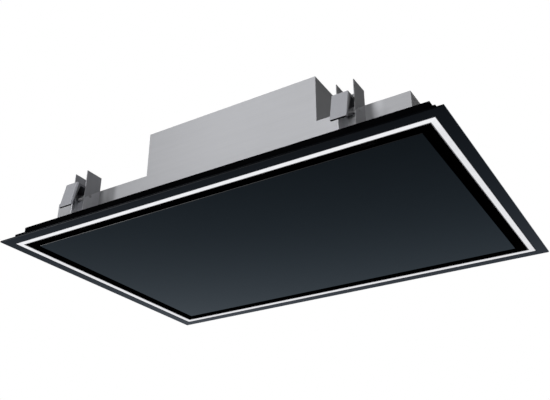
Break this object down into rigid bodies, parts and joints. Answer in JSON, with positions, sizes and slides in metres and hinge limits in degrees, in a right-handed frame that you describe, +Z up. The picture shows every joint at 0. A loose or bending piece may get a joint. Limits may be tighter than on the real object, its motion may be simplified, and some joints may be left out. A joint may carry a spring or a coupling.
{
  "type": "ceiling range hood",
  "caption": "Flush ceiling extractor: lit trim plate, hinged glass suction panel, grease filters, radial fan in a stepped steel body and spring clamps for a ceiling cut-out.",
  "frame": {"origin": "centre of the trim plate's lower face, which is the hood's lowest level", "axes": "+X along the long side, +Y towards the duct outlet, +Z up into the ceiling"},
  "size_m": [0.9, 0.6, 0.1877],
  "materials": {
    "black_trim": "gloss",
    "black_steel": "satin",
    "galvanised": "satin",
    "bright_steel": "satin",
    "diffuser": "opal, lit",
    "light_strip": "matte",
    "panel_glass": "dark gloss, backed",
    "aluminium": "satin",
    "dark_plastic": "moulded",
    "board": "matte",
    "driver_case": "matte",
    "winding": "varnished",
    "bearing_steel": "ground"
  },
  "bodies": {
    "hood": {"trim_plate": "black_trim", "light_channel": "black_steel", "light_strips": "light_strip", "light_diffuser": "diffuser", "collector_tray": "black_steel", "filter_rails": "galvanised", "housing_front": "galvanised", "housing_back": "galvanised", "housing_end_left": "galvanised", "housing_end_right": "galvanised", "housing_top_plate": "galvanised", "fan_box_end_left": "galvanised", "fan_box_end_right": "galvanised", "fan_box_cover": "galvanised", "panel_hinge_brackets": "bright_steel", "panel_hinge_pins": "bright_steel", "touch_latch_bodies": "dark_plastic", "filter_frame_left": "aluminium", "filter_frame_right": "aluminium", "filter_mesh_left": "aluminium", "filter_mesh_right": "aluminium", "scroll_base": "galvanised", "scroll_wall": "galvanised", "scroll_top": "galvanised", "motor_stator": "winding", "motor_bearings": "bearing_steel", "outlet_duct": "galvanised", "damper_pin": "bright_steel", "control_box": "galvanised", "control_box_lid": "galvanised", "control_board": "board", "led_driver": "driver_case", "cable_gland": "dark_plastic", "clamp_pins": "bright_steel", "screws": "bright_steel", "bracket_front_left": "galvanised", "clamp_spring_front_left": "bright_steel", "bracket_front_right": "galvanised", "clamp_spring_front_right": "bright_steel", "bracket_back_left": "galvanised", "clamp_spring_back_left": "bright_steel", "bracket_back_right": "galvanised", "clamp_spring_back_right": "bright_steel"},
    "panel": {"glass_panel": "panel_glass", "panel_pan": "black_steel", "panel_edge_bars": "black_steel", "panel_hinge_leaves": "bright_steel"},
    "fan_rotor": {"motor_shaft": "bearing_steel", "motor_rotor_cup": "bright_steel", "impeller": "dark_plastic"},
    "latch_plunger_left": {"touch_latch_plunger_left": "bright_steel"},
    "latch_plunger_right": {"touch_latch_plunger_right": "bright_steel"},
    "filter_slide_left": {"filter_latch_left": "bright_steel"},
    "filter_slide_right": {"filter_latch_right": "bright_steel"},
    "flap_left": {"damper_flap_left": "aluminium"},
    "flap_right": {"damper_flap_right": "aluminium"},
    "clamp_arm_front_left": {"clamp_front_left": "galvanised"},
    "clamp_arm_front_right": {"clamp_front_right": "galvanised"},
    "clamp_arm_back_left": {"clamp_back_left": "galvanised"},
    "clamp_arm_back_right": {"clamp_back_right": "galvanised"}
  },
  "joints": [
    {"name": "panel_hinge", "type": "hinge", "parent": "hood", "child": "panel", "pos_m": [0, 0.235, 0.015], "axis": [1, 0, 0], "range_deg": [0, 90]},
    {"name": "fan_spin", "type": "hinge", "parent": "hood", "child": "fan_rotor", "pos_m": [-0.011, -0.0692, 0.14], "axis": [0, 0, 1], "continuous": true},
    {"name": "flap_left_hinge", "type": "hinge", "parent": "hood", "child": "flap_left", "pos_m": [0.03, 0.135, 0.137], "axis": [0, 0, 1], "range_deg": [-80, 0], "stiffness_Nm_per_rad": 0.02, "springref_deg": 17.19},
    {"name": "flap_right_hinge", "type": "hinge", "parent": "hood", "child": "flap_right", "pos_m": [0.03, 0.135, 0.137], "axis": [0, 0, 1], "range_deg": [0, 80], "stiffness_Nm_per_rad": 0.02, "springref_deg": -17.19},
    {"name": "touch_latch_left", "type": "slide", "parent": "hood", "child": "latch_plunger_left", "axis": [0, 0, 1], "range_m": [0, 0.003], "stiffness_N_per_m": 300, "springref_m": -0.002},
    {"name": "filter_latch_slide_left", "type": "slide", "parent": "hood", "child": "filter_slide_left", "axis": [0, 1, 0], "range_m": [0, 0.006], "stiffness_N_per_m": 300, "springref_m": -0.003},
    {"name": "touch_latch_right", "type": "slide", "parent": "hood", "child": "latch_plunger_right", "axis": [0, 0, 1], "range_m": [0, 0.003], "stiffness_N_per_m": 300, "springref_m": -0.002},
    {"name": "filter_latch_slide_right", "type": "slide", "parent": "hood", "child": "filter_slide_right", "axis": [0, 1, 0], "range_m": [0, 0.006], "stiffness_N_per_m": 300, "springref_m": -0.003},
    {"name": "clamp_swing_front_left", "type": "hinge", "parent": "hood", "child": "clamp_arm_front_left", "pos_m": [-0.285, -0.255, 0.072], "axis": [1, 0, 0], "range_deg": [0, 22], "stiffness_Nm_per_rad": 0.6, "springref_deg": -22.92, "deforming": ["clamp_spring_front_left"]},
    {"name": "clamp_swing_front_right", "type": "hinge", "parent": "hood", "child": "clamp_arm_front_right", "pos_m": [0.285, -0.255, 0.072], "axis": [1, 0, 0], "range_deg": [0, 22], "stiffness_Nm_per_rad": 0.6, "springref_deg": -22.92, "deforming": ["clamp_spring_front_right"]},
    {"name": "clamp_swing_back_left", "type": "hinge", "parent": "hood", "child": "clamp_arm_back_left", "pos_m": [-0.285, 0.255, 0.072], "axis": [1, 0, 0], "range_deg": [-22, 0], "stiffness_Nm_per_rad": 0.6, "springref_deg": 22.92, "deforming": ["clamp_spring_back_left"]},
    {"name": "clamp_swing_back_right", "type": "hinge", "parent": "hood", "child": "clamp_arm_back_right", "pos_m": [0.285, 0.255, 0.072], "axis": [1, 0, 0], "range_deg": [-22, 0], "stiffness_Nm_per_rad": 0.6, "springref_deg": 22.92, "deforming": ["clamp_spring_back_right"]}
  ]
}
